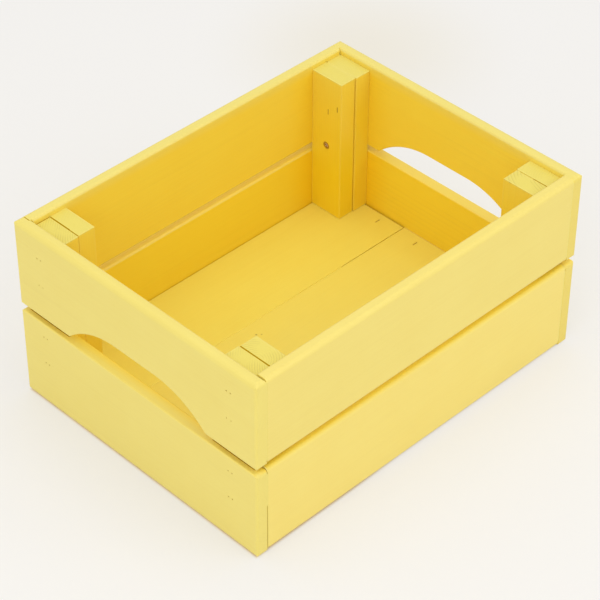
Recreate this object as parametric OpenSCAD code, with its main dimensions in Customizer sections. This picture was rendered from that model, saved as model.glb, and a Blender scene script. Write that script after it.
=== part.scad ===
// Slatted crate of painted softwood, with an arched hand-hold in each upper end board.
// The origin is the middle of the footprint on the ground, X runs along the crate and Z up.
// Left and right are the two ends, at -X and +X. Front and back are the long sides, at -Y and +Y.

/* [Crate] */
// Length of the crate over the outer faces of its end boards
crate_l = 400; // [320:1:600]
// Width of the crate, which is also the length of an end board
crate_w = 300; // [250:1:400]
// Height of the crate, from the ground to the rim
crate_h = 194; // [170:1:240]
// Thickness of the boards in the end and side panels
board_t = 12; // [11:0.5:18]
// Radius on the outer long edges of those boards
edge_r = 4.5; // [1:0.25:5]
// Radius on the inner long edges of those boards
inner_edge_r = 3; // [1:0.25:5]
// Easing radius on the crosscut ends of boards and battens
end_ease = 0.5; // [0.3:0.1:0.8]

/* [End panels] */
// Width of the lower end board
end_lower_w = 95.5; // [80:0.5:110]
// Open gap between the lower and the upper end board
end_gap = 5; // [2:0.5:12]
// Radius on the lower end board's edges along that gap
gap_edge_r = 1.2; // [0.5:0.1:3]
// Radius on the outer upright edges of the end boards, which form the corners of the crate
corner_r = 2.5; // [0.5:0.25:4]
// Radius on the four corners of an end board's faces
face_corner_r = 4.5; // [1:0.25:6]

/* [Hand-holds] */
// Rise of the hand-hold above the lower edge of its board
hold_rise = 28; // [20:0.5:40]
// Straight length along the top of the hand-hold
hold_flat = 48; // [30:1:70]
// Radius of the hand-hold's two shoulders
hold_r = 88; // [50:1:95]
// Sideways offset of the hand-hold from the middle of its board
hold_offset = -2.5; // [-6:0.5:6]
// Chamfer around the lip of the hand-hold
hold_ease = 0.8; // [0.4:0.1:2]

/* [Side panels] */
// Height of the side panels' lower edge above the ground
side_lift = 2; // [0.5:0.5:6]
// Width of the lower side board
side_lower_w = 94.5; // [80:0.5:110]
// Open gap between the lower and the upper side board
side_gap = 5.5; // [2:0.5:12]
// Joint gap between a side board's end and the end board
side_end_gap = 0.5; // [0.2:0.1:2]

/* [Corner posts] */
// Thickness of a batten, along the crate
batten_t = 18; // [15:0.5:25]
// Width of a batten, across the crate
batten_w = 38; // [30:1:50]
// Radius on the upright edges of a batten
batten_r = 0.5; // [0.3:0.1:3]
// Depth of the post tops below the rim
post_drop = 6; // [2:0.5:15]
// Open seam between the two battens of a post
post_seam = 0.9; // [0.2:0.1:1.5]
// Clearance of an end panel's battens from the side boards
panel_clear = 0.9; // [0.2:0.1:1.5]

/* [Floor] */
// Thickness of the floor boards
floor_t = 12; // [9:0.5:18]
// Height of the bearers under the floor
bearer_h = 19; // [12:0.5:25]
// Width of the middle floor board
floor_middle_w = 94; // [85:1:100]
// Seam between neighbouring floor boards
floor_seam = 0.7; // [0.3:0.1:3]
// Clearance of the floor panel from the walls around it
floor_clear = 0.5; // [0.3:0.1:2]
// How much shorter the outer floor boards are at each end than the middle one
floor_short = 0.7; // [0:0.1:2]
// Easing radius on the long edges of the floor boards
floor_edge_r = 0.6; // [0.4:0.1:3]

/* [Staples] */
// Width of a staple over its legs
staple_w = 6; // [4:0.5:10]
// Thickness of the staple wire
staple_wire = 1.2; // [0.8:0.1:1.6]
// Depth of a staple's crown below the face
staple_sink = 0.3; // [0.1:0.1:1]
// Wood left beyond the tips of the staples
staple_cover = 3; // [2:0.5:6]
// Spacing of the two staples that hold a board to a post
staple_pitch = 30; // [20:1:40]
// Height of that pair's middle above the middle of an upper board
upper_staple_rise = 6.5; // [0:0.5:12]
// Height of that pair's middle above the middle of a lower board
lower_staple_rise = 17; // [0:0.5:18]
// Distance of the post staples from the inner edge of their batten
post_staple_edge = 5; // [3:0.5:8]
// Spacing of the two staples in a post, across the batten
post_staple_pitch = 12; // [8:0.5:16]
// Height step between those two staples
post_staple_step = 8; // [0:0.5:12]
// Depth of the upper post staple below the post top
post_staple_drop = 30; // [20:1:40]
// Distance of the floor staples from the long edges of their board
floor_staple_edge = 24.5; // [15:0.5:30]
// Distance of the floor staples from the inner face of the end boards
floor_staple_inset = 12; // [8:0.5:14]

/* [Screws] */
// Diameter of a screw head
screw_head_d = 8; // [6:0.25:9]
// Diameter of a screw shank
screw_d = 4; // [3:0.25:5]
// Depth of a screw head below the face
screw_sink = 0.5; // [0.2:0.1:1.5]
// Height of the corner screws above the floor
corner_screw_h = 79; // [60:1:90]
// Wood left beyond the tip of a corner screw
screw_cover = 5; // [3:0.5:8]
// Depth that a floor screw bites into the foot of its batten
floor_screw_bite = 28; // [20:1:35]
// Clearance around a fastener in its hole
fastener_clear = 0.05; // [0.02:0.01:0.15]

/* [Hidden] */
$fn = 48;
left = -1;
right = 1;
front = -1;
back = 1;
lower = 0;
upper = 1;

inner_l = crate_l - 2*board_t;
inner_w = crate_w - 2*board_t;
floor_top = bearer_h + floor_t;
post_top = crate_h - post_drop;
post_depth = 2*batten_t + post_seam;

// Widths and mid-heights of the wall boards, lower one first
end_board_w = [end_lower_w, crate_h - end_lower_w - end_gap];
side_board_w = [side_lower_w, crate_h - side_lift - side_lower_w - side_gap];
end_board_z = [end_board_w[lower]/2, crate_h - end_board_w[upper]/2];
side_board_z = [side_lift + side_board_w[lower]/2, crate_h - side_board_w[upper]/2];
staple_rise = [lower_staple_rise, upper_staple_rise];

// Middle lines of the battens and of the floor boards
end_batten_x = inner_l/2 - batten_t/2;
side_batten_x = inner_l/2 - post_depth + batten_t/2;
post_face_x = inner_l/2 - post_depth;
end_batten_y = inner_w/2 - panel_clear - batten_w/2;
side_batten_y = inner_w/2 - batten_w/2;
floor_outer_w = (inner_w - floor_middle_w)/2 - floor_clear - floor_seam;
floor_board_step = (floor_middle_w + floor_outer_w)/2 + floor_seam;

// Fastener lengths that stay inside the wood they join
staple_leg = min(board_t + batten_t, floor_t + bearer_h) - staple_cover - staple_sink;
corner_screw_l = post_depth - screw_cover - screw_sink;
floor_screw_l = floor_top + floor_screw_bite - screw_sink;
screw_recess_w = 0.3*screw_d;
screw_recess_l = 0.6*screw_head_d;
// How far a cut runs past the face that it opens, and one part of an outline into the next
past = 1;

// Radii of the wall boards' long edges, inner ones first and each from bottom to top
side_board_radii = [[inner_edge_r, inner_edge_r], [edge_r, edge_r]];
end_board_radii = [[[inner_edge_r, gap_edge_r], [edge_r, gap_edge_r]], side_board_radii];

// The same radius on all four edges
function all_round(r) = [[r, r], [r, r]];

// Width of a floor board; place is -1, 0 or 1 from front to back
function floor_board_w(place) = place == 0 ? floor_middle_w : floor_outer_w;

paint = "#eecb4e";
post_paint = "#ecc744";
floor_paint = "#efcf57";
zinc = "#c9a66b";
wire_paint = "#d8b64c";

// Rectangle about the origin with rounded corners, whose radii are [[-x-y, -x+y], [+x-y, +x+y]]
module round_rect(x, y, radii) {
    for (sx = [-1, 1], sy = [-1, 1]) {
        r = radii[(sx + 1)/2][(sy + 1)/2];
        translate([sx*(x/2 - r - past)/2, sy*(y/2 - past)/2])
            square([x/2 - r + past, y/2 + past], center = true);
        translate([sx*(x/2 - past)/2, sy*(y/2 - r - past)/2])
            square([x/2 + past, y/2 - r + past], center = true);
        translate([sx*(x/2 - r), sy*(y/2 - r)])
            circle(r = r);
    }
}

// Planed board along X with its outer face at +Y, and rounded long edges and crosscut ends
module board(length, thickness, width, long_radii, outer_end_r = end_ease, face_r = end_ease) {
    intersection() {
        rotate([90, 0, 90])
            linear_extrude(length, center = true)
                round_rect(thickness, width, long_radii);
        linear_extrude(width, center = true)
            round_rect(length, thickness, [[end_ease, outer_end_r], [end_ease, outer_end_r]]);
        rotate([90, 0, 0])
            linear_extrude(thickness, center = true)
                round_rect(length, width, all_round(face_r));
    }
}

// Wire staple driven down through a face at Z = 0, with its crown along X.
// With a clearance it becomes its own hole, open at the face.
module staple(clear = 0) {
    wire = staple_wire + 2*clear;
    crown = staple_w + 2*clear;
    crown_top = clear > 0 ? past : -staple_sink;
    crown_bottom = -staple_sink - staple_wire - clear;
    translate([-crown/2, -wire/2, crown_bottom])
        cube([crown, wire, crown_top - crown_bottom]);
    leg_bottom = -staple_sink - staple_leg - clear;
    for (s = [-1, 1])
        translate([s*(staple_w - staple_wire)/2 - wire/2, -wire/2, leg_bottom])
            cube([wire, wire, -staple_sink - leg_bottom]);
}

// Countersunk wood screw driven down through a face at Z = 0.
// With a clearance it becomes its own hole, open at the face.
module screw(length, clear = 0) {
    head_r = screw_head_d/2 + clear;
    shank_r = screw_d/2 + clear;
    head_h = head_r - shank_r;
    tip_h = screw_d;
    translate([0, 0, -screw_sink]) {
        translate([0, 0, -head_h])
            cylinder(h = head_h, r1 = shank_r, r2 = head_r);
        translate([0, 0, tip_h - length - clear])
            cylinder(h = length + clear - tip_h, r = shank_r);
        translate([0, 0, -length - clear])
            cylinder(h = tip_h, r1 = 0, r2 = shank_r);
        if (clear > 0)
            cylinder(h = screw_sink + past, r = head_r);
    }
}

// Screw with a cross recess in its head
module cross_screw(length) {
    recess_h = (screw_head_d - screw_d)/4;
    difference() {
        screw(length);
        for (turn = [0, 90])
            rotate(turn)
                translate([-screw_recess_l/2, -screw_recess_w/2, -screw_sink - recess_h])
                    cube([screw_recess_l, screw_recess_w, recess_h + past]);
    }
}

// Staples through one end board into the battens of its two posts
module end_board_staples(end, level, clear = 0) {
    for (side = [front, back], pair = [-1, 1])
        translate([
            end*crate_l/2,
            side*end_batten_y,
            end_board_z[level] + staple_rise[level] + pair*staple_pitch/2
        ])
            rotate([0, end*90, 0])
                rotate(90)
                    staple(clear);
}

// Staples through one side board into the battens of its two posts
module side_board_staples(side, level, clear = 0) {
    for (end = [left, right], pair = [-1, 1])
        translate([
            end*side_batten_x,
            side*crate_w/2,
            side_board_z[level] + staple_rise[level] + pair*staple_pitch/2
        ])
            rotate([-side*90, 0, 0])
                staple(clear);
}

// Staples that tack the two battens of one post together, upright in the inner face
module one_post_staples(end, side, clear = 0) {
    for (i = [0, 1])
        translate([
            end*post_face_x,
            side*(side_batten_y - batten_w/2 + post_staple_edge + i*post_staple_pitch),
            post_top - post_staple_drop - i*post_staple_step
        ])
            rotate([0, -end*90, 0])
                staple(clear);
}

// Staples at both ends of one floor board; place is -1, 0 or 1 from front to back
module floor_board_staples(place, clear = 0) {
    for (end = [left, right], pair = [-1, 1])
        translate([
            end*(inner_l/2 - floor_staple_inset),
            place*floor_board_step + pair*(floor_board_w(place)/2 - floor_staple_edge),
            floor_top
        ])
            staple(clear);
}

// Places what follows at the head of a corner screw, pointing into the crate
module at_corner_screw(end, side) {
    translate([end*post_face_x, side*side_batten_y, floor_top + corner_screw_h])
        rotate([0, -end*90, 0])
            children();
}

// Places what follows at the head of a floor screw, pointing down
module at_floor_screw(end, side) {
    translate([end*side_batten_x, side*side_batten_y, 0])
        rotate([180, 0, 0])
            children();
}

// Arched cut for the hand: a flat top between two round shoulders, chamfered at both faces
module hand_hold(end) {
    middle_z = crate_h - end_board_w[upper] + hold_rise - hold_r;
    translate([end*(crate_l - board_t)/2, hold_offset, middle_z]) {
        for (s = [-1, 1])
            translate([0, s*hold_flat/2, 0]) {
                rotate([0, 90, 0])
                    cylinder(h = board_t + 2*past, r = hold_r, center = true, $fn = 96);
                for (face = [-1, 1])
                    translate([face*(board_t/2 - hold_ease), 0, 0])
                        rotate([0, face*90, 0])
                            cylinder(h = hold_ease + past, r1 = hold_r,
                                     r2 = hold_r + hold_ease + past, $fn = 96);
            }
        rotate([90, 0, 0])
            linear_extrude(hold_flat, center = true)
                polygon([
                    [-board_t/2 - past, 0],
                    [board_t/2 + past, 0],
                    [board_t/2 + past, hold_r + hold_ease + past],
                    [board_t/2 - hold_ease, hold_r],
                    [hold_ease - board_t/2, hold_r],
                    [-board_t/2 - past, hold_r + hold_ease + past]
                ]);
    }
}

module end_board(end, level) {
    difference() {
        translate([end*(crate_l - board_t)/2, 0, end_board_z[level]])
            rotate(-end*90)
                board(crate_w, board_t, end_board_w[level], end_board_radii[level], corner_r,
                      face_corner_r);
        end_board_staples(end, level, fastener_clear);
        if (level == upper)
            hand_hold(end);
    }
}

module side_board(side, level) {
    difference() {
        translate([0, side*(crate_w - board_t)/2, side_board_z[level]])
            rotate(90 - side*90)
                board(inner_l - 2*side_end_gap, board_t, side_board_w[level], side_board_radii);
        side_board_staples(side, level, fastener_clear);
    }
}

// Upright batten standing on the floor
module batten(x, y) {
    translate([x, y, (floor_top + post_top)/2])
        rotate([0, 90, 0])
            board(post_top - floor_top, batten_w, batten_t, all_round(batten_r));
}

// Outer batten of a post, fixed to the end boards
module end_batten(end, side) {
    difference() {
        batten(end*end_batten_x, side*end_batten_y);
        for (level = [lower, upper])
            end_board_staples(end, level, fastener_clear);
        one_post_staples(end, side, fastener_clear);
        at_corner_screw(end, side)
            screw(corner_screw_l, fastener_clear);
    }
}

// Inner batten of a post, fixed to the side boards
module side_batten(end, side) {
    difference() {
        batten(end*side_batten_x, side*side_batten_y);
        for (level = [lower, upper])
            side_board_staples(side, level, fastener_clear);
        one_post_staples(end, side, fastener_clear);
        at_corner_screw(end, side)
            screw(corner_screw_l, fastener_clear);
        at_floor_screw(end, side)
            screw(floor_screw_l, fastener_clear);
    }
}

module floor_board(place) {
    length = inner_l - 2*floor_clear - 2*abs(place)*floor_short;
    difference() {
        translate([0, place*floor_board_step, floor_top - floor_t/2])
            rotate([90, 0, 0])
                board(length, floor_t, floor_board_w(place), all_round(floor_edge_r));
        floor_board_staples(place, fastener_clear);
        for (end = [left, right], side = [front, back])
            at_floor_screw(end, side)
                screw(floor_screw_l, fastener_clear);
    }
}

// Flat bearer across the crate, under the floor boards and the feet of two posts
module floor_bearer(end) {
    difference() {
        translate([end*(inner_l - post_depth)/2, 0, bearer_h/2])
            rotate(90)
                board(inner_w - 2*floor_clear, post_depth, bearer_h, all_round(batten_r));
        for (place = [-1, 0, 1])
            floor_board_staples(place, fastener_clear);
        for (side = [front, back])
            at_floor_screw(end, side)
                screw(floor_screw_l, fastener_clear);
    }
}

module lower_end_board_left() { color(paint) end_board(left, lower); }
module upper_end_board_left() { color(paint) end_board(left, upper); }
module lower_end_board_right() { color(paint) end_board(right, lower); }
module upper_end_board_right() { color(paint) end_board(right, upper); }

module lower_side_board_front() { color(paint) side_board(front, lower); }
module upper_side_board_front() { color(paint) side_board(front, upper); }
module lower_side_board_back() { color(paint) side_board(back, lower); }
module upper_side_board_back() { color(paint) side_board(back, upper); }

module end_batten_left_front() { color(post_paint) end_batten(left, front); }
module end_batten_left_back() { color(post_paint) end_batten(left, back); }
module end_batten_right_front() { color(post_paint) end_batten(right, front); }
module end_batten_right_back() { color(post_paint) end_batten(right, back); }

module side_batten_left_front() { color(post_paint) side_batten(left, front); }
module side_batten_left_back() { color(post_paint) side_batten(left, back); }
module side_batten_right_front() { color(post_paint) side_batten(right, front); }
module side_batten_right_back() { color(post_paint) side_batten(right, back); }

module floor_board_front() { color(floor_paint) floor_board(-1); }
module floor_board_middle() { color(floor_paint) floor_board(0); }
module floor_board_back() { color(floor_paint) floor_board(1); }
module floor_bearer_left() { color(floor_paint) floor_bearer(left); }
module floor_bearer_right() { color(floor_paint) floor_bearer(right); }

module corner_screws() {
    color(zinc)
        for (end = [left, right], side = [front, back])
            at_corner_screw(end, side)
                cross_screw(corner_screw_l);
}

module floor_screws() {
    color(zinc)
        for (end = [left, right], side = [front, back])
            at_floor_screw(end, side)
                cross_screw(floor_screw_l);
}

module end_staples() {
    color(wire_paint)
        for (end = [left, right], level = [lower, upper])
            end_board_staples(end, level);
}

module side_staples() {
    color(wire_paint)
        for (side = [front, back], level = [lower, upper])
            side_board_staples(side, level);
}

module post_staples() {
    color(wire_paint)
        for (end = [left, right], side = [front, back])
            one_post_staples(end, side);
}

module floor_staples() {
    color(wire_paint)
        for (place = [-1, 0, 1])
            floor_board_staples(place);
}

lower_end_board_left();
upper_end_board_left();
lower_end_board_right();
upper_end_board_right();
lower_side_board_front();
upper_side_board_front();
lower_side_board_back();
upper_side_board_back();
end_batten_left_front();
end_batten_left_back();
end_batten_right_front();
end_batten_right_back();
side_batten_left_front();
side_batten_left_back();
side_batten_right_front();
side_batten_right_back();
floor_board_front();
floor_board_middle();
floor_board_back();
floor_bearer_left();
floor_bearer_right();
corner_screws();
floor_screws();
end_staples();
side_staples();
post_staples();
floor_staples();
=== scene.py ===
import math

import bmesh
import bpy
from mathutils import Euler, Matrix, Vector


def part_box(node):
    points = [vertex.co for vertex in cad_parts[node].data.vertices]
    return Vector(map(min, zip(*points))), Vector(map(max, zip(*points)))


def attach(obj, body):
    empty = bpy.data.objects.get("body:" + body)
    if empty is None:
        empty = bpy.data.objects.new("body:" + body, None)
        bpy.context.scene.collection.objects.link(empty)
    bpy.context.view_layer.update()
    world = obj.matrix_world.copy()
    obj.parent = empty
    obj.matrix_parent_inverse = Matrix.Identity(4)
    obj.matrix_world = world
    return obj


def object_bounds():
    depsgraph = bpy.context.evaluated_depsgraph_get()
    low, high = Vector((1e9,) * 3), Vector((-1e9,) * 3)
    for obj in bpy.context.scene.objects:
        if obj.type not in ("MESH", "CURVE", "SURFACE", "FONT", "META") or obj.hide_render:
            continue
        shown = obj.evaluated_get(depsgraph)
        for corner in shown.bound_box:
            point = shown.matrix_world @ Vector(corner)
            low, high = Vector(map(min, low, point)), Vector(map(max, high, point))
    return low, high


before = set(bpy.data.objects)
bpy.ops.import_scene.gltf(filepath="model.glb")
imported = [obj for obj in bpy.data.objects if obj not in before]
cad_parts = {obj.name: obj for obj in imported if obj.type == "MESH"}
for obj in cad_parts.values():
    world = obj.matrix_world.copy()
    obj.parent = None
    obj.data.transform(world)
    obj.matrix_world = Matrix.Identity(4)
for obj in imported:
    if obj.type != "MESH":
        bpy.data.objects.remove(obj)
cad_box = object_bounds()


# End boards: two planed spruce boards at each end, the upper one sawn to an arch for the hand.
# Their edges were rounded on a router. The crate was painted yellow once it was put together.
# Its outside is given a paler tone as painted light, and its inside a deeper yellow as painted
# shade.

MM = 0.001
# Name, outward face, where the heart of the tree lay from the middle of the board, in millimetres
# across the grain, and the board's own look. The wall's open gap lies above (1) or below (-1) it.
# In the look, 'gap' is a painted tone of light and shade on the edge beside that gap, and
# 'corner' a painted shade beside the right back post.
END_BOARDS = [
    ("lower_end_board_left", (-1, 0, 0), (38, -30), {
        "gap_side": 1, "gap": "#F2DD6C", "painted_shade_tone": "#F4D234", "sawn": "#ECD96F",
        "painted_light": (3.5, 13.0)}),
    ("upper_end_board_left", (-1, 0, 0), (46, 14), {
        "gap_side": -1, "gap": "#F1D85E", "painted_shade_tone": "#F6D844", "sawn": "#ECD96F"}),
    ("lower_end_board_right", (1, 0, 0), (-40, -90), {
        "gap_side": 1, "gap": "#FADE5C", "painted_shade_tone": "#F9DA38", "sawn": "#EAD362",
        "ring_width": 5.5, "painted_shade_rings": 0.07, "corner": "#F9D01E"}),
    ("upper_end_board_right", (1, 0, 0), (41, 22), {
        "gap_side": -1, "gap": "#F2DA5F", "painted_shade_tone": "#F8DA46", "sawn": "#EAD362",
        "painted_shade_rings": 0.05, "corner": "#F7D534"}),
]
# What the boards share: colour of the painted light on the outward faces, how deep the painted
# light goes, width of a growth ring, how strongly the rings show on each kind of face, and how
# much the arrises are rubbed
BOARD_LOOK = {
    "painted_lit_tone": "#ECD971", "painted_light": (11.8, 12.0), "ring_width": 4.0,
    "painted_lit_rings": 0.015, "painted_shade_rings": 0.03, "end_rings": 0.04, "rubbing": 0.0,
}


def linear(hex_colour):
    """Linear RGBA of an sRGB colour such as #EDD670."""
    channels = [int(hex_colour[i:i + 2], 16) / 255 for i in (1, 3, 5)]
    return [c / 12.92 if c <= 0.04045 else ((c + 0.055) / 1.055) ** 2.4 for c in channels] + [1.0]


def add(tree, kind, links=None, **settings):
    """Adds a node. Settings are its own properties, links go to its inputs by name or number."""
    node = tree.nodes.new("ShaderNode" + kind)
    for key, value in settings.items():
        setattr(node, key, value)
    for socket, value in (links or {}).items():
        if isinstance(value, bpy.types.NodeSocket):
            tree.links.new(value, node.inputs[socket])
        else:
            node.inputs[socket].default_value = value
    return node


def new_material(name):
    """A new material, its node tree and its Principled shader."""
    material = bpy.data.materials.new(name)
    material.use_nodes = True
    shader = material.node_tree.nodes["Principled BSDF"]
    return material, material.node_tree, shader


# Satin acrylic paint on planed spruce. The eye sees an even yellow with a soft sheen. The hard
# late wood of the growth rings shows through as faint lines, most of all on sawn ends, brush
# marks run along the grain, and the film is a little paler where an arris is rubbed.
PAINT_RUBBED = "#F6E48C"
PAINT_THIN = "#8C7414"
PAINT_IOR = 1.5
PAINT_ROUGHNESS = (0.36, 0.52)
# Growth rings, and the slow waves along the trunk that make them uneven
RING_WAVE_ACROSS = 30.0
RING_WAVE_ALONG = 260.0
RING_WAVE_DETAIL = 2.0
RING_WOBBLE = 5.0
LATE_WOOD_POWER = 3.0
# Blender's ring texture turns through this many radians in one unit
RING_TEXTURE_RATE = 20.0
NOISE_MIDDLE = (0.5, 0.5, 0.5)
# Fibres and brush marks along the grain. Real ones are under 1 mm wide, and are drawn coarser
# here so that they show.
FIBRE_WIDTH = 2.2
FIBRE_LENGTH = 90.0
FIBRE_DETAIL = 3.0
FIBRE_SHARE = 0.10
MOTTLE_SIZE = 45.0
MOTTLE_DETAIL = 2.0
MOTTLE_SHARE = 0.08
RELIEF_HEIGHT = 0.08
RING_RELIEF = 0.5
# Patches of thin paint, where the rings show
PATCH_ACROSS = 14.0
PATCH_ALONG = 120.0
PATCH_DETAIL = 1.0
PATCH_RANGE = (0.42, 0.62)
# How far a look reaches from a sawn end, from an arris, from an open gap, and down from the rim,
# where painted light reaches onto the inner face
SAWN_END_REACH = (0.5, 1.2)
RUB_REACH = (0.5, 2.0)
GAP_REACH = (0.5, 2.5)
RIM_REACH = (2.5, 12.0)
RIM_PAINTED_LIGHT = 0.55
# Share of a pin knot's size that is fully dark
KNOT_CORE = 0.4
# The right back post, beside which the paint is a deeper yellow as painted shade and bounce
# light in the corner, and how far from its middle that reaches
CORNER_POST = (169.0, 119.0, 0.0)
CORNER_SHADE_REACH = (27.0, 54.0)
# Turns that lay the grain along x, y or z
GRAIN_TURNS = {"x": (0, math.pi / 2, 0), "y": (-math.pi / 2, 0, 0), "z": (0, 0, 0)}
AXES = "xyz"


def wood_place(tree, place, middle, grain, heart):
    """Place in the wood in millimetres, with Z along the grain and the tree's heart at zero."""
    turn = Euler(GRAIN_TURNS[grain]).to_matrix()
    heart_point = middle + turn @ Vector((*heart, 0)) * MM
    return add(tree, "Mapping", {"Vector": place, "Location": heart_point,
                                 "Rotation": GRAIN_TURNS[grain], "Scale": (MM, MM, MM)},
               vector_type="TEXTURE").outputs[0]


def drawn_out_noise(tree, wood, across, along, detail):
    """Outputs of a noise that is drawn out along the grain, with its sizes in millimetres."""
    drawn_out = add(tree, "Mapping", {"Vector": wood,
                                      "Scale": (1 / across, 1 / across, 1 / along)})
    return add(tree, "TexNoise", {"Vector": drawn_out.outputs[0], "Scale": 1.0,
                                  "Detail": detail}).outputs


def growth_rings(tree, wood, ring_width):
    """Strength of the late wood in the growth rings round the heart."""
    wave = drawn_out_noise(tree, wood, RING_WAVE_ACROSS, RING_WAVE_ALONG, RING_WAVE_DETAIL)
    shift = add(tree, "VectorMath", {0: wave["Color"], 1: NOISE_MIDDLE}, operation="SUBTRACT")
    bent = add(tree, "VectorMath", {0: shift.outputs[0], 1: (RING_WOBBLE, RING_WOBBLE, 0),
                                    2: wood}, operation="MULTIPLY_ADD")
    rings = add(tree, "TexWave", {"Vector": bent.outputs[0],
                                  "Scale": 2 * math.pi / (RING_TEXTURE_RATE * ring_width)},
                wave_type="RINGS", rings_direction="Z", wave_profile="SAW")
    return add(tree, "Math", {0: rings.outputs["Fac"], 1: LATE_WOOD_POWER},
               operation="POWER").outputs[0]


def depth_below(tree, place, face_point, outward):
    """Distance in millimetres from a face into the wood, where outward is the way it looks."""
    below = add(tree, "VectorMath", {0: face_point, 1: place}, operation="SUBTRACT")
    return add(tree, "VectorMath", {0: below.outputs[0], 1: outward / MM},
               operation="DOT_PRODUCT").outputs["Value"]


def painted_light_coat(tree, place, low, high, outward, look):
    """Share and colour of the painted light on the paint. It lies near the outward face, and a
    little way down from the rim, and the edge beside an open gap has a painted tone of light and
    shade of its own."""
    outward = Vector(outward)
    face_point = (low + high) / 2 + (high - low) / 2 * outward
    share = add(tree, "MapRange", {"Value": depth_below(tree, place, face_point, outward),
                                   "From Min": look["painted_light"][0], "From Max": look["painted_light"][1],
                                   "To Min": 1.0, "To Max": 0.0}).outputs[0]
    colour = linear(look["painted_lit_tone"])
    if "gap_side" not in look:
        return share, colour
    # The edge beside an open gap gets a painted tone of light and shade
    gap_below = look["gap_side"] < 0
    from_gap = depth_below(tree, place, low if gap_below else high,
                           Vector((0, 0, look["gap_side"])))
    past_edge = add(tree, "MapRange", {"Value": from_gap, "From Min": GAP_REACH[0],
                                       "From Max": GAP_REACH[1]})
    colour = add(tree, "MixRGB", {0: past_edge.outputs[0], 1: linear(look["gap"]),
                                  2: colour}).outputs[0]
    if gap_below:
        rim = (high.z - low.z) / MM
        painted_rim_light = add(tree, "MapRange", {"Value": from_gap, "From Min": rim - RIM_REACH[1],
                                          "From Max": rim - RIM_REACH[0], "To Max": RIM_PAINTED_LIGHT})
        share = add(tree, "Math", {0: share, 1: painted_rim_light.outputs[0]},
                    operation="MAXIMUM").outputs[0]
    return share, colour


def painted_shade_coat(tree, place, look):
    """Colour of the paint in painted shade, which may be deeper beside the right back post as
    painted corner shade.
    """
    colour = linear(look["painted_shade_tone"])
    if "corner" not in look:
        return colour
    plan = add(tree, "VectorMath", {0: place, 1: (1, 1, 0)}, operation="MULTIPLY")
    away = add(tree, "VectorMath", {0: plan.outputs[0], 1: Vector(CORNER_POST) * MM},
               operation="DISTANCE")
    out_of_painted_shade = add(tree, "MapRange", {"Value": away.outputs["Value"],
                                   "From Min": CORNER_SHADE_REACH[0] * MM,
                                   "From Max": CORNER_SHADE_REACH[1] * MM})
    return add(tree, "MixRGB", {0: out_of_painted_shade.outputs[0], 1: linear(look["corner"]),
                                2: colour}).outputs[0]


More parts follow.
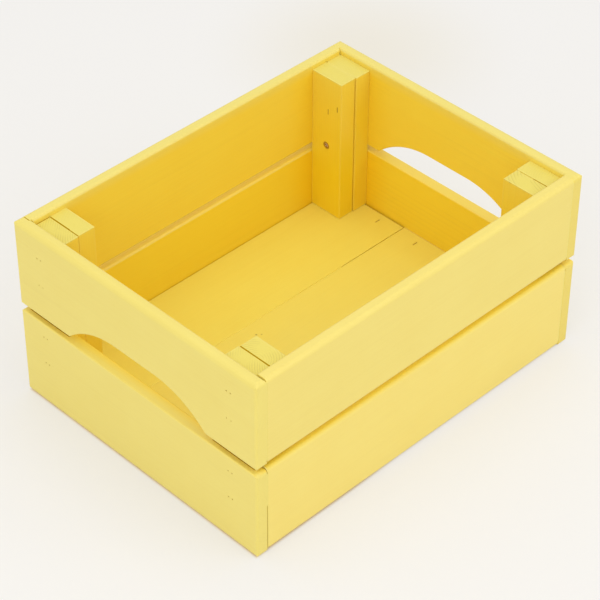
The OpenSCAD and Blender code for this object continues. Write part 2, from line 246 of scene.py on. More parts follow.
def painted_spruce(piece, grain, heart, outward, look):
    """Yellow paint on one piece of spruce, whose grain runs along x, y or z."""
    material, tree, shader = new_material("painted_spruce_" + piece.name)
    low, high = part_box(piece.name)
    middle, half = (low + high) / 2, (high - low) / 2
    place = add(tree, "TexCoord").outputs["Object"]
    wood = wood_place(tree, place, middle, grain, heart)
    late_wood = growth_rings(tree, wood, look["ring_width"])
    fibre = drawn_out_noise(tree, wood, FIBRE_WIDTH, FIBRE_LENGTH, FIBRE_DETAIL)["Fac"]
    cover = drawn_out_noise(tree, wood, PATCH_ACROSS, PATCH_ALONG, PATCH_DETAIL)["Fac"]
    thin_paint = add(tree, "MapRange", {"Value": cover, "From Min": PATCH_RANGE[0],
                                        "From Max": PATCH_RANGE[1]})
    mottle = add(tree, "TexNoise", {"Vector": wood, "Scale": 1 / MOTTLE_SIZE,
                                    "Detail": MOTTLE_DETAIL})

    # Distances from the sides of the piece, which find its sawn ends and its arrises. The second
    # smallest of the three is the distance from the nearest arris.
    from_middle = add(tree, "VectorMath", {0: place, 1: middle}, operation="SUBTRACT")
    reach = add(tree, "VectorMath", {0: from_middle.outputs[0]}, operation="ABSOLUTE")
    inside = add(tree, "VectorMath", {0: half, 1: reach.outputs[0]}, operation="SUBTRACT")
    sides = add(tree, "SeparateXYZ", {0: inside.outputs[0]}).outputs
    sawn = add(tree, "MapRange", {"Value": sides[AXES.index(grain)],
                                  "From Min": SAWN_END_REACH[0] * MM,
                                  "From Max": SAWN_END_REACH[1] * MM,
                                  "To Min": 1.0, "To Max": 0.0})
    nearer = add(tree, "Math", {0: sides[0], 1: sides[1]}, operation="MINIMUM")
    farther = add(tree, "Math", {0: sides[0], 1: sides[1]}, operation="MAXIMUM")
    third = add(tree, "Math", {0: farther.outputs[0], 1: sides[2]}, operation="MINIMUM")
    arris = add(tree, "Math", {0: nearer.outputs[0], 1: third.outputs[0]}, operation="MAXIMUM")
    rubbing = add(tree, "MapRange", {"Value": arris.outputs[0], "From Min": RUB_REACH[0] * MM,
                                     "From Max": RUB_REACH[1] * MM,
                                     "To Min": look["rubbing"], "To Max": 0.0})

    # The coats of colour, from the plain paint with its painted light and shade to the rubbed
    # arrises
    painted_light, painted_lit_tone = painted_light_coat(tree, place, low, high, outward, look)
    colour = add(tree, "MixRGB", {0: painted_light, 1: painted_shade_coat(tree, place, look),
                                  2: painted_lit_tone}).outputs[0]
    for *knot, size, share in look.get("pin_knots", []):
        apart = add(tree, "VectorMath", {0: place, 1: Vector(knot) * MM}, operation="DISTANCE")
        spot = add(tree, "MapRange", {"Value": apart.outputs["Value"],
                                      "From Min": KNOT_CORE * size * MM, "From Max": size * MM,
                                      "To Min": share, "To Max": 0.0})
        colour = add(tree, "MixRGB", {0: spot.outputs[0], 1: colour,
                                      2: linear(PAINT_THIN)}).outputs[0]
    ended = add(tree, "MixRGB", {0: sawn.outputs[0], 1: colour, 2: linear(look["sawn"])})
    uneven = add(tree, "MixRGB", {0: MOTTLE_SHARE, 1: ended.outputs[0],
                                  2: mottle.outputs["Fac"]}, blend_type="SOFT_LIGHT")
    streaked = add(tree, "MixRGB", {0: FIBRE_SHARE, 1: uneven.outputs[0], 2: fibre},
                   blend_type="SOFT_LIGHT")
    face_tint = add(tree, "MapRange", {"Value": painted_light, "To Min": look["painted_shade_rings"],
                                       "To Max": look["painted_lit_rings"]})
    ring_tint = add(tree, "MapRange", {"Value": sawn.outputs[0], "To Min": face_tint.outputs[0],
                                       "To Max": look["end_rings"]})
    shown = add(tree, "Math", {0: late_wood, 1: thin_paint.outputs[0]}, operation="MULTIPLY")
    ring_share = add(tree, "Math", {0: shown.outputs[0], 1: ring_tint.outputs[0]},
                     operation="MULTIPLY")
    grained = add(tree, "MixRGB", {0: ring_share.outputs[0], 1: streaked.outputs[0],
                                   2: linear(PAINT_THIN)})
    rubbed = add(tree, "MixRGB", {0: rubbing.outputs[0], 1: grained.outputs[0],
                                  2: linear(PAINT_RUBBED)})

    # Sheen and relief of the brush marks
    sheen = add(tree, "MapRange", {"Value": fibre, "To Min": PAINT_ROUGHNESS[0],
                                   "To Max": PAINT_ROUGHNESS[1]})
    relief = add(tree, "Math", {0: late_wood, 1: RING_RELIEF, 2: fibre},
                 operation="MULTIPLY_ADD")
    bump = add(tree, "Bump", {"Height": relief.outputs[0], "Distance": RELIEF_HEIGHT * MM})
    tree.links.new(rubbed.outputs[0], shader.inputs["Base Color"])
    tree.links.new(sheen.outputs[0], shader.inputs["Roughness"])
    tree.links.new(bump.outputs[0], shader.inputs["Normal"])
    shader.inputs["IOR"].default_value = PAINT_IOR
    piece.material_slots[0].material = material


for name, outward, heart, look in END_BOARDS:
    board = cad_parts[name]
    painted_spruce(board, "y", heart, outward, {**BOARD_LOOK, **look})


# Side boards: two planed spruce boards along each side, cut to fit between the end boards.
# They are stapled to the inner battens of the posts, and the same paint covers them. It has
# filled most of their joints at the crate's corners.

# Keys as for the end boards: 'gap' is a painted tone of light and shade beside the open gap, and
# 'corner' a painted shade beside the right back post
SIDE_BOARDS = [
    ("lower_side_board_front", (0, -1, 0), (28, 44), {
        "gap_side": 1, "gap": "#F4D84A", "painted_shade_tone": "#F6D738", "painted_lit_tone": "#F2DB71"}),
    ("upper_side_board_front", (0, -1, 0), (-34, 40), {
        "gap_side": -1, "gap": "#F2D859", "painted_shade_tone": "#F6D844", "painted_lit_tone": "#EED972"}),
    ("lower_side_board_back", (0, 1, 0), (20, -48), {
        "gap_side": 1, "gap": "#FADB52", "painted_shade_tone": "#F8D836", "corner": "#F8D11F"}),
    ("upper_side_board_back", (0, 1, 0), (-30, -37), {
        "gap_side": -1, "gap": "#F1D85E", "painted_shade_tone": "#F6D744", "corner": "#F8D636"}),
]
SIDE_SAWN = "#ECD96F"

for name, outward, heart, look in SIDE_BOARDS:
    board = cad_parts[name]
    painted_spruce(board, "x", heart, outward, {**BOARD_LOOK, "sawn": SIDE_SAWN, **look})

UPWARD = (0, 0, 1)
# How far paint in a gap stays clear of the wood, and where its profile follows an eased arris
FILL_CLEAR = 0.02
FILL_STEPS = (0.1, 0.2, 0.35, 0.6, 1.0)
JOINT = {"arris": 0.5, "depth": 2.0}
# How far the paint follows the rounded rim, in degrees
RIM_START = 30
RIM_WHOLE = 90
RIM_STEP = 15
RIM_ROUNDING = 4.5
# Side board, its side and end of the crate, lower and upper end of the paint in its joint, how
# deep the paint lies, and how far it follows the rim
JOINT_FILLS = [
    ("upper_side_board_front", -1, -1, 106.5, 189.5, 0.04, RIM_START),
    ("lower_side_board_front", -1, -1, 55.0, 91.0, 0.04, 0),
    ("upper_side_board_front", -1, 1, 106.5, 189.5, 0.08, RIM_WHOLE),
    ("lower_side_board_front", -1, 1, 7.0, 91.0, 0.2, 0),
    ("upper_side_board_back", 1, -1, 106.5, 189.5, 0.08, RIM_WHOLE),
    ("lower_side_board_back", 1, -1, 7.0, 91.0, 0.1, 0),
    ("upper_side_board_back", 1, 1, 106.5, 189.5, 0.08, RIM_WHOLE),
    ("lower_side_board_back", 1, 1, 7.0, 91.0, 0.1, 0),
]
# Where the paint follows the whole rim, the joint opens above this height to a groove that
# crosses the rim. Depths and half widths of the paint in the groove, and its place.
JOINT_WIDENS = 191.0
RIM_GROOVE = [(0.1, 1.9), (3.0, 1.9)]
RIM_GROOVE_X = 188.9
RIM_GROOVE_Y = (139.5, 147.0)


def gap_between(first, second, axis):
    """Middle and width of the gap between two nodes along x, y or z, in millimetres."""
    start, stop = getattr(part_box(first)[1], axis) / MM, getattr(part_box(second)[0], axis) / MM
    return (start + stop) / 2, stop - start


def groove(gap, arris, sink, depth):
    """Depths and half widths of the paint in a gap between two eased arrises."""
    depths = [sink] + [step * arris for step in FILL_STEPS if step * arris > sink] + [depth]
    profile = []
    for down in depths:
        above = max(arris - down, 0)
        arris_width = arris - math.sqrt(arris ** 2 - above ** 2)
        profile.append((down, gap / 2 + arris_width - FILL_CLEAR))
    return profile


def new_object(name, data):
    """An object in the scene that holds a mesh, a lamp or a camera."""
    made = bpy.data.objects.new(name, data)
    bpy.context.scene.collection.objects.link(made)
    return made


def mesh_object(name, shape, material):
    """An object with the mesh of a finished shape and one material."""
    mesh = bpy.data.meshes.new(name)
    shape.to_mesh(mesh)
    shape.free()
    mesh.materials.append(material)
    return new_object(name, mesh)


def paint_fill(name, material, bars):
    """Paint, or dust and painted shade, that fills dents or seams. Each bar of it has a start and
    an end on the face, the way the face looks, and the depths and half widths of the filling."""
    paint = bmesh.new()
    for start, end, outward, profile in bars:
        start, end, outward = Vector(start), Vector(end), Vector(outward)
        across = (end - start).normalized().cross(outward)
        outline = [(-half, down) for down, half in profile]
        outline += [(half, down) for down, half in reversed(profile)]
        rims = [[paint.verts.new((point + across * half - outward * down) * MM)
                 for half, down in outline] for point in (start, end)]
        for rim in rims:
            paint.faces.new(rim)
        for i in range(len(outline)):
            paint.faces.new((rims[0][i - 1], rims[0][i], rims[1][i], rims[1][i - 1]))
    bmesh.ops.recalc_face_normals(paint, faces=paint.faces)
    piece = mesh_object(name, paint, material)
    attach(piece, "root")


side_face = cad_box[1].y / MM
rim_top = cad_box[1].z / MM
joint_x, joint_gap = gap_between("upper_side_board_front", "upper_end_board_right", "x")
for board, side, end, bottom, top, sink, rim_turn in JOINT_FILLS:
    path = [(side_face, bottom), (side_face, top)]
    for turn in range(RIM_STEP, rim_turn + 1, RIM_STEP):
        angle = math.radians(turn)
        path.append((side_face - RIM_ROUNDING * (1 - math.cos(angle)),
                     top + RIM_ROUNDING * math.sin(angle)))
    bars = []
    for (out, low), (next_out, high) in zip(path, path[1:]):
        facing = Vector((0, side * (high - low), out - next_out)).normalized()
        wide = low > JOINT_WIDENS
        x = end * (RIM_GROOVE_X if wide else joint_x)
        bars.append(((x, side * out, low), (x, side * next_out, high), facing,
                     RIM_GROOVE if wide else groove(joint_gap, sink=sink, **JOINT)))
    if rim_turn == RIM_WHOLE:
        across_rim = [(end * RIM_GROOVE_X, side * y, rim_top) for y in RIM_GROOVE_Y]
        bars.append((*across_rim, UPWARD, RIM_GROOVE))
    paint_fill("filled_joint_%s_%s" % (board, "left" if end < 0 else "right"),
               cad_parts[board].active_material, bars)


# Corner posts: each is an end batten and a side batten of square-planed spruce, drawn together
# by a screw. Their sawn tops drank the paint, so on some of them the growth rings show as olive
# lines. Paint, or dust that also serves as painted shade, lies in their seams, and the same
# painted shade lies in other corners of the left end too.

# Name, colour of the upright faces, which is their painted shade tone, heart of the tree, width
# of a growth ring, how strongly the rings show on the top, and how far down the faces the painted
# light of the top reaches
BATTENS = [
    ("end_batten_left_front", "#F6D846", (75, -66), 2.0, 0.28, 45.0),
    ("end_batten_left_back", "#F6D846", (70, -66), 2.1, 0.28, 45.0),
    ("end_batten_right_front", "#F6D838", (15, -35), 2.4, 0.08, 45.0),
    ("end_batten_right_back", "#F6D736", (-30, 10), 2.4, 0.06, 45.0),
    ("side_batten_left_front", "#F6D846", (-12, -2), 2.3, 0.28, 45.0),
    ("side_batten_left_back", "#F6D846", (26, -28), 2.4, 0.06, 45.0),
    ("side_batten_right_front", "#F6D838", (65, -35), 3.0, 0.28, 45.0),
    ("side_batten_right_back", "#F6D724", (-25, -25), 2.4, 0.06, 110.0),
]
BATTEN_LOOK = {
    "painted_lit_tone": "#F4D74C", "sawn": "#E7D562",
    "painted_lit_rings": 0.04, "painted_shade_rings": 0.04, "rubbing": 0.12,
}

for name, painted_shade_tone, heart, ring_width, end_rings, lit_down in BATTENS:
    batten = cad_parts[name]
    look = {**BATTEN_LOOK, "painted_shade_tone": painted_shade_tone, "ring_width": ring_width,
            "end_rings": end_rings, "painted_light": (0.0, lit_down)}
    painted_spruce(batten, "z", heart, UPWARD, look)

# Dust held in the paint of a seam, which also stands for painted shade in seams, gaps and on a
# ledge: the eye sees a dull golden brown line without any sheen.
DUST_AND_SHADE_TONE = "#BE9808"
DUST_AND_SHADE_THIN = "#A48004"
DUST_LUMPS = 2.0
DUST_DETAIL = 2.0
DUST_ROUGHNESS = 0.7
DUST_SHEEN = 0.0

dust_and_shade, tree, shader = new_material("dust_and_painted_shade")
place = add(tree, "TexCoord").outputs["Object"]
lumps = add(tree, "TexNoise", {"Vector": place, "Scale": 1 / (DUST_LUMPS * MM),
                               "Detail": DUST_DETAIL})
tone = add(tree, "MixRGB", {0: lumps.outputs["Fac"], 1: linear(DUST_AND_SHADE_TONE), 2: linear(DUST_AND_SHADE_THIN)})
tree.links.new(tone.outputs[0], shader.inputs["Base Color"])
shader.inputs["Roughness"].default_value = DUST_ROUGHNESS
shader.inputs["Specular IOR Level"].default_value = DUST_SHEEN

POST_SEAM = {"arris": 0.5, "depth": 3.0}
# Side batten beside each seam, its end and side of the crate, how deep the paint lies in the
# upright seam on the inner face, and how deep clean paint, or dust with painted shade, lies in
# the seam along the top, from the inner to the outer arris
POST_SEAMS = [
    ("side_batten_left_front", -1, -1, 0.9, [(100.6, 136.6, "dust_and_shade", 0.03)]),
    ("side_batten_left_back", -1, 1, 0.5, [(100.6, 112.0, "dust_and_shade", 0.2),
                                           (112.0, 136.6, "dust_and_shade", 0.03)]),
    ("side_batten_right_front", 1, -1, 0.9, [(100.6, 118.6, "paint", 0.9),
                                             (118.6, 136.6, "dust_and_shade", 0.2)]),
    ("side_batten_right_back", 1, 1, 1.5, [(100.6, 136.6, "paint", 0.05)]),
]

post_low, post_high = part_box("side_batten_right_back")
post_top = post_high.z / MM
seam_x, seam_gap = gap_between("side_batten_right_back", "end_batten_right_back", "x")
inner_face = post_low.y / MM
inner_seam_z = (post_low.z / MM + POST_SEAM["arris"], post_top - POST_SEAM["arris"])
for name, end, side, face_sink, stretches in POST_SEAMS:
    inner_seam = [(end * seam_x, side * inner_face, z) for z in inner_seam_z]
    inner_fill = groove(seam_gap, sink=face_sink, **POST_SEAM)
    fills = {"paint": [(*inner_seam, (0, -side, 0), inner_fill)], "dust_and_shade": []}
    for start, stop, kind, sink in stretches:
        top_seam = [(end * seam_x, side * y, post_top) for y in (start, stop)]
        fills[kind].append((*top_seam, UPWARD, groove(seam_gap, sink=sink, **POST_SEAM)))
    paint_fill("filled_seam_" + name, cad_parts[name].active_material,
               fills["paint"])
    if fills["dust_and_shade"]:
        paint_fill("dust_and_shade_seam_" + name, dust_and_shade, fills["dust_and_shade"])

# Gap between the back end battens and the side board, filled along the batten's top: with paint
# on the right, and on the left with a dark painted shade in the dust's material
BACK_GAP = {"arris": 0.0, "sink": 0.3, "depth": 3.0}
BACK_GAP_X = (170.6, 187.4)

gap_y, gap_width = gap_between("end_batten_right_back", "upper_side_board_back", "y")
for name, end, material in (
        ("filled_gap_right_back", 1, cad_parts["end_batten_right_back"].active_material),
        ("painted_shade_gap_left_back", -1, dust_and_shade)):
    back_gap = [(end * x, gap_y, post_top) for x in BACK_GAP_X]
    paint_fill(name, material,
               [(*back_gap, UPWARD, groove(gap_width, **BACK_GAP))])

# Painted shade, in the dust's material, in the rim's joint above the left back post, and on the
# ledge of the lower left board, in the open gap on both sides of the arch, where a dark line of
# shade falls: depths and half widths of it, and its place
RIM_SHADE = [(0.04, 0.5), (1.0, 0.5)]
RIM_SHADE_X = -190.3
RIM_SHADE_Y = (139.5, 146.5)
LEDGE_SHADE = [(-0.05, 0.9), (0.3, 0.9)]
LEDGE_SHADE_X = -194.3
LEDGE_SHADE_Y = [(-143.0, -92.0), (90.0, 143.0)]

rim_shade = [(RIM_SHADE_X, y, rim_top) for y in RIM_SHADE_Y]
paint_fill("painted_shade_rim_left_back", dust_and_shade, [(*rim_shade, UPWARD, RIM_SHADE)])
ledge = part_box("lower_end_board_left")[1].z / MM
paint_fill("painted_shade_ledge_left", dust_and_shade, [
    ((LEDGE_SHADE_X, start, ledge), (LEDGE_SHADE_X, stop, ledge), UPWARD, LEDGE_SHADE)
    for start, stop in LEDGE_SHADE_Y])


# Floor: three wide spruce boards along the crate, laid on two flat bearers across it and
# stapled down. The painter's brush filled most of the seams between them.

# Name, heart of the tree, and colour of the top face, which is a paler tone of painted light
FLOOR_BOARDS = [
    ("floor_board_front", (30, 18), "#F4E167"),
    ("floor_board_middle", (36, -12), "#F4E165"),
    ("floor_board_back", (-33, 25), "#F4E160"),
]
BEARERS = ("floor_bearer_left", "floor_bearer_right")
BEARER_HEART = (24, 30)
DOWNWARD = (0, 0, -1)
FLOOR_LOOK = {
    "painted_lit_tone": "#F4E167", "painted_shade_tone": "#F6D73C", "painted_light": (2.0, 6.0), "sawn": "#E8CC58",
    "ring_width": 4.0, "painted_lit_rings": 0.02, "painted_shade_rings": 0.05, "end_rings": 0.05,
    "rubbing": 0.0,
    # Place, size and strength of two pin knots in the middle board
    "pin_knots": [(-25.4, 32.7, 31.0, 1.3, 0.7), (-21.6, 29.5, 31.0, 1.2, 0.4)],
}
FLOOR_SEAM = {"arris": 0.6, "depth": 3.0}
# Stretches of paint in the seams and how deep it lies; to the right of them the seams are open
FLOOR_SEAM_FILLS = [(-187.0, -60.0, 0.25), (-60.0, 30.0, 0.4), (30.0, 101.0, 0.6)]
# Paint between the right end of the middle board and the end board
FLOOR_END = {"arris": 0.6, "sink": 0.05, "depth": 3.0}
FLOOR_END_Y = (-46.8, 46.8)

for name, heart, painted_lit_tone in FLOOR_BOARDS:
    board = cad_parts[name]
    painted_spruce(board, "x", heart, UPWARD, {**FLOOR_LOOK, "painted_lit_tone": painted_lit_tone})

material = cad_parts["floor_board_middle"].active_material
floor_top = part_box("floor_board_middle")[1].z / MM
floor_seam_y, floor_gap = gap_between("floor_board_middle", "floor_board_back", "y")
paint_fill("filled_floor_seams", material, [
    ((start, side * floor_seam_y, floor_top), (stop, side * floor_seam_y, floor_top), UPWARD,
     groove(floor_gap, sink=sink, **FLOOR_SEAM))
    for side in (-1, 1) for start, stop, sink in FLOOR_SEAM_FILLS])
end_x, end_gap = gap_between("floor_board_middle", "lower_end_board_right", "x")
floor_end = [(end_x, y, floor_top) for y in FLOOR_END_Y]
paint_fill("filled_floor_end", material,
           [(*floor_end, UPWARD, groove(end_gap, **FLOOR_END))])

for name in BEARERS:
    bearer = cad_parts[name]
    painted_spruce(bearer, "y", BEARER_HEART, DOWNWARD, FLOOR_LOOK)


# Screws: countersunk steel screws with a cross recess, zinc plated and passivated yellow.
# One draws each post together from inside, and one holds each post's foot from below.

# Passivated zinc is a metal: the eye sees a warm, patchy bronze, with a small painted glint in
# the recess.
ZINC = "#DCC08C"
ZINC_WORN = "#987440"
ZINC_BLOOM = 1.5
ZINC_DETAIL = 3.0
ZINC_ROUGHNESS = 0.35
# A painted glint in the recess of a corner screw, drawn as a pale dull fleck
PAINTED_GLINT = "#FFE4D8"
PAINTED_GLINT_REACH = (1.3, 2.2)

screw_low, screw_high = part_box("corner_screws")
screw_head = Vector((post_low.x, (post_low.y + post_high.y) / 2,
                     (screw_low.z + screw_high.z) / 2))
material, tree, shader = new_material("yellow_zinc_plating")
place = add(tree, "TexCoord").outputs["Object"]
bloom = add(tree, "TexNoise", {"Vector": place, "Scale": 1 / (ZINC_BLOOM * MM),
                               "Detail": ZINC_DETAIL})
tone = add(tree, "MixRGB", {0: bloom.outputs["Fac"], 1: linear(ZINC), 2: linear(ZINC_WORN)})
mirrored = add(tree, "VectorMath", {0: place}, operation="ABSOLUTE")
apart = add(tree, "VectorMath", {0: mirrored.outputs[0], 1: screw_head}, operation="DISTANCE")
off_painted_glint = add(tree, "MapRange", {"Value": apart.outputs["Value"],
                                "From Min": PAINTED_GLINT_REACH[0] * MM,
                                "From Max": PAINTED_GLINT_REACH[1] * MM})
with_painted_glint = add(tree, "MixRGB", {0: off_painted_glint.outputs[0], 1: linear(PAINTED_GLINT), 2: tone.outputs[0]})
tree.links.new(with_painted_glint.outputs[0], shader.inputs["Base Color"])
tree.links.new(off_painted_glint.outputs[0], shader.inputs["Metallic"])
shader.inputs["Roughness"].default_value = ZINC_ROUGHNESS
for name in ("corner_screws", "floor_screws"):
    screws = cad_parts[name]
    screws.material_slots[0].material = material


# Staples: galvanised wire staples driven through the boards and painted over with them.
# The brush filled the dents over the crowns, whole on the sides and in the middle on the ends.

# Galvanised wire under thin paint: the eye sees a duller, greyer yellow than the boards.
WIRE_PAINT = "#C8A83C"
WIRE_PAINT_THIN = "#A88A30"
WIRE_DRIPS = 1.2
WIRE_DETAIL = 2.0
WIRE_ROUGHNESS = 0.45

material, tree, shader = new_material("painted_galvanised_wire")
place = add(tree, "TexCoord").outputs["Object"]
drips = add(tree, "TexNoise", {"Vector": place, "Scale": 1 / (WIRE_DRIPS * MM),
                               "Detail": WIRE_DETAIL})
tone = add(tree, "MixRGB", {0: drips.outputs["Fac"], 1: linear(WIRE_PAINT),
                            2: linear(WIRE_PAINT_THIN)})
tree.links.new(tone.outputs[0], shader.inputs["Base Color"])
shader.inputs["Roughness"].default_value = WIRE_ROUGHNESS
shader.inputs["IOR"].default_value = PAINT_IOR
for name in ("end_staples", "side_staples", "post_staples", "floor_staples"):
    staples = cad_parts[name]
    staples.material_slots[0].material = material

STAPLE_WIRE = 1.2
DENT_SINK = 0.01
DENT_DEPTH = 0.28
DENT_HALF = STAPLE_WIRE / 2 + FILL_CLEAR
DENT = [(DENT_SINK, DENT_HALF), (DENT_DEPTH, DENT_HALF)]
# Corners of a staple's mesh that lie this close are one
WELD = 0.001
# How much of a dent stays open at both ends of a crown, in the lower and in the upper half of a
# board. A dent that is filled whole has paint a little past its ends.
CROWN_MIDDLE = (0.8, 1.4)
CROWN_WHOLE = (-FILL_CLEAR, -FILL_CLEAR)
# Staples, boards and the way they look out, axis of the crowns, how far the dents are open, and
# the slot of the paint in them
FILLED_STAPLES = [
    ("end_staples", END_BOARDS, "y", CROWN_MIDDLE, "painted_boards"),
    ("side_staples", SIDE_BOARDS, "x", CROWN_WHOLE, "painted_boards"),
    ("post_staples", [("side_batten_right_front", (-1, 0, 0))], "z", CROWN_WHOLE,
     "painted_battens"),
]


def staple_boxes(name):
    """Low and high corner of each staple in a node, in millimetres."""
    wires = bmesh.new()
    wires.from_mesh(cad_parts[name].data)
    bmesh.ops.remove_doubles(wires, verts=wires.verts, dist=WELD * MM)
    boxes, seen = [], set()
    for first in wires.verts:
        if first in seen:
            continue
        seen.add(first)
        staple, front = [], [first]
        while front:
            vertex = front.pop()
            staple.append(vertex.co / MM)
            others = {edge.other_vert(vertex) for edge in vertex.link_edges} - seen
            seen |= others
            front += others
        boxes.append([[pick(corner[i] for corner in staple) for i in range(3)]
                      for pick in (min, max)])
    wires.free()
    return boxes


for staples, boards, crown_axis, open_ends, slot in FILLED_STAPLES:
    boxes = staple_boxes(staples)
    crown = AXES.index(crown_axis)
    for name, outward, *_ in boards:
        low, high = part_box(name)
        axis = [abs(part) for part in outward].index(1)
        outer = 1 if outward[axis] > 0 else 0
        bars = []
        for box in boxes:
            middle = [(box[0][i] + box[1][i]) / 2 for i in range(3)]
            middle[axis] = box[outer][axis]
            if all(low[i] < middle[i] * MM < high[i] for i in range(3)):
                middle[axis] = (low, high)[outer][axis] / MM
                start, end = list(middle), list(middle)
                open_end = open_ends[middle[2] * MM > (low.z + high.z) / 2]
                start[crown] = box[0][crown] + open_end
                end[crown] = box[1][crown] - open_end
                bars.append((start, end, outward, DENT))
        paint_fill("filled_dents_" + name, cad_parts[name].active_material, bars)


# Studio: a plain pale floor, a white surround, and soft lamps from the camera's side and from
# above. Part of the floor's brightness is its own, so the crate's shadow on it stays as weak as
# in a white photo tent.

FLOOR_SIZE = 30000.0
# Matt paper: the eye sees an even pale grey without any sheen. Under the crate's foot it has a
# painted shade, yellow like the crate's bounce light.
FLOOR_PALE = "#F2F0ED"
FLOOR_PAINTED_SHADE_UNDER = "#EACF90"
PAPER_ROUGHNESS = 0.9
PAPER_SHEEN = 0.0
# Painted shade and yellow bounce light on the floor behind the crate
CREAM_PAINTED_SHADE = "#EDE8DC"
CREAM_SHADE_PLACE = (411.0, 323.0, 0.0)
CREAM_SHADE_REACH = 190.0
# The floor's own brightness, and where it sets in at the foot of the walls
FLOOR_GLOW = 0.5
GLOW_REACH = (-2.5, 0.8)
# The side boards stand clear of the floor. From the middle on to the right, the painted shade
# under them starts farther in, and painted light in the floor's glow weakens the shadow before
# them.
LIT_FROM = (-85.0, -25.0)
LIT_UNDER = (1.4, 2.6)
LIT_PAINTED_GLOW = 0.2
LIT_REACH = (3.0, 16.0)

material, tree, shader = new_material("matt_floor_paper")
place = add(tree, "TexCoord").outputs["Object"]

# Distance from the foot of the walls, measured from farther in where the painted shade under them
# begins farther in
reach = add(tree, "VectorMath", {0: place}, operation="ABSOLUTE")
beside = add(tree, "VectorMath", {0: reach.outputs[0], 1: cad_box[1]}, operation="SUBTRACT")
sides = add(tree, "SeparateXYZ", {0: beside.outputs[0]}).outputs
lit = add(tree, "MapRange", {"Value": add(tree, "SeparateXYZ", {0: place}).outputs[0],
                             "From Min": LIT_FROM[0] * MM, "From Max": LIT_FROM[1] * MM})
lit_under = add(tree, "MapRange", {"Value": lit.outputs[0], "To Min": LIT_UNDER[0] * MM,
                                   "To Max": LIT_UNDER[1] * MM})
before = add(tree, "Math", {0: sides[1], 1: lit_under.outputs[0]}, operation="ADD")
apart = add(tree, "Math", {0: sides[0], 1: before.outputs[0]}, operation="MAXIMUM")
uncovered = add(tree, "MapRange", {"Value": apart.outputs[0], "From Min": GLOW_REACH[0] * MM,
                                   "From Max": GLOW_REACH[1] * MM}).outputs[0]

# Colour of the paper, with its painted shade behind the crate
behind = add(tree, "VectorMath", {0: place, 1: Vector(CREAM_SHADE_PLACE) * MM}, operation="DISTANCE")
out_of_painted_shade = add(tree, "MapRange", {"Value": behind.outputs["Value"], "From Max": CREAM_SHADE_REACH * MM},
            interpolation_type="SMOOTHSTEP")
paper_with_painted_shade = add(tree, "MixRGB", {0: out_of_painted_shade.outputs[0], 1: linear(CREAM_PAINTED_SHADE),
                            2: linear(FLOOR_PALE)}).outputs[0]
tone = add(tree, "MixRGB", {0: uncovered, 1: linear(FLOOR_PAINTED_SHADE_UNDER), 2: paper_with_painted_shade})
tree.links.new(tone.outputs[0], shader.inputs["Base Color"])
shader.inputs["Roughness"].default_value = PAPER_ROUGHNESS
shader.inputs["Specular IOR Level"].default_value = PAPER_SHEEN

# The paper's own brightness is there for the camera and in reflections, and lights nothing.
# Before the right part of the front it is raised as painted light.
ray = add(tree, "LightPath").outputs
mirrored = add(tree, "Math", {0: ray["Is Glossy Ray"], 1: ray["Is Transmission Ray"]},
               operation="ADD")
seen = add(tree, "Math", {0: ray["Is Camera Ray"], 1: mirrored.outputs[0]}, operation="ADD")
painted_fill_glow = add(tree, "Math", {0: lit.outputs[0], 1: LIT_PAINTED_GLOW, 2: FLOOR_GLOW},
                operation="MULTIPLY_ADD")
own_and_painted_glow = add(tree, "MapRange", {"Value": apart.outputs[0], "From Min": LIT_REACH[0] * MM,
                                  "From Max": LIT_REACH[1] * MM,
                                  "To Min": painted_fill_glow.outputs[0], "To Max": FLOOR_GLOW})
seen_glow = add(tree, "Math", {0: seen.outputs[0], 1: own_and_painted_glow.outputs[0]},
                operation="MULTIPLY")
glow_share = add(tree, "Math", {0: seen_glow.outputs[0], 1: uncovered}, operation="MULTIPLY")
glow = add(tree, "Emission", {"Color": paper_with_painted_shade})
paper = add(tree, "MixShader", {0: glow_share.outputs[0], 1: shader.outputs[0],
                                2: glow.outputs[0]})
tree.links.new(paper.outputs[0], tree.nodes["Material Output"].inputs["Surface"])

ground = bmesh.new()
bmesh.ops.create_grid(ground, x_segments=1, y_segments=1, size=FLOOR_SIZE * MM / 2)
studio_floor = mesh_object("studio_floor", ground, material)

SURROUND = "#FFFFFF"
SURROUND_STRENGTH = 0.81

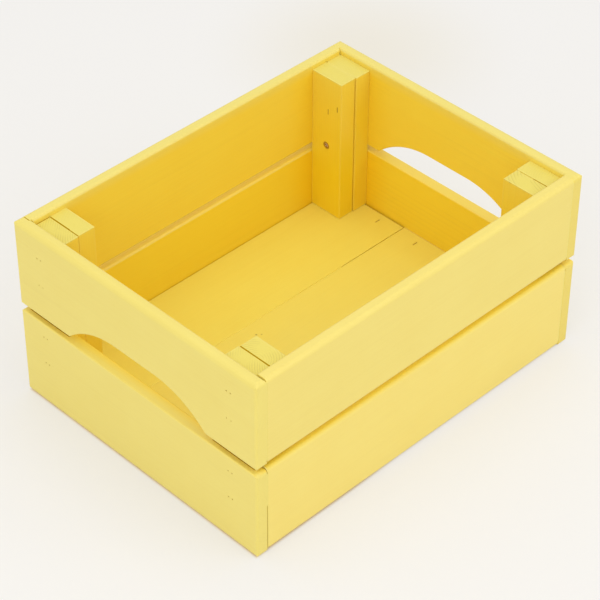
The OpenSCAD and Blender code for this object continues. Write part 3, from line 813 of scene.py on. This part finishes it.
world = bpy.data.worlds.new("studio")
world.use_nodes = True
surround = world.node_tree.nodes["Background"]
surround.inputs["Color"].default_value = linear(SURROUND)
surround.inputs["Strength"].default_value = SURROUND_STRENGTH
bpy.context.scene.world = world

# Name of each lamp, its direction from the crate, and its power in watts
SOFTBOXES = [
    ("softbox_left", (-1.0, -0.35, 0.8), 10.0),
    ("softbox_right", (0.35, -1.0, 0.8), 9.0),
    ("softbox_above", (0.0, 0.0, 1.0), 8.0),
]
SOFTBOX_SIZE = 1600.0
SOFTBOX_DISTANCE = 2400.0
SOFTBOX_AIM = (0.0, 0.0, 100.0)

for name, direction, power in SOFTBOXES:
    lamp = bpy.data.lights.new(name, "AREA")
    lamp.size = SOFTBOX_SIZE * MM
    lamp.energy = power
    softbox = new_object(name, lamp)
    towards = Vector(direction).normalized()
    softbox.location = (Vector(SOFTBOX_AIM) + towards * SOFTBOX_DISTANCE) * MM
    softbox.rotation_euler = towards.to_track_quat("Z", "Y").to_euler()


# Camera: a long lens from the left front, looking down at the crate. Its place and its
# direction were fitted to the corners and edges of the crate in the photo.

AZIMUTH = math.radians(-44.895)
ELEVATION = math.radians(39.912)
ROLL = math.radians(0.278)
DISTANCE = 2129.82 * MM
AIM_RIGHT = -0.892 * MM
AIM_UP = 59.15 * MM
LENS = 138.63

back = Vector((math.sin(AZIMUTH) * math.cos(ELEVATION),
               -math.cos(AZIMUTH) * math.cos(ELEVATION), math.sin(ELEVATION)))
level = Vector((math.cos(AZIMUTH), math.sin(AZIMUTH), 0))
upright = back.cross(level)
across = math.cos(ROLL) * level + math.sin(ROLL) * upright
up = math.cos(ROLL) * upright - math.sin(ROLL) * level
lens = bpy.data.cameras.new("camera")
lens.lens = LENS
camera = new_object("camera", lens)
camera.matrix_world = Matrix.Translation(back * DISTANCE + across * AIM_RIGHT + up * AIM_UP) @ (
    Matrix((across, up, back)).transposed().to_4x4())
bpy.context.scene.camera = camera
bpy.context.scene.view_settings.view_transform = "Standard"
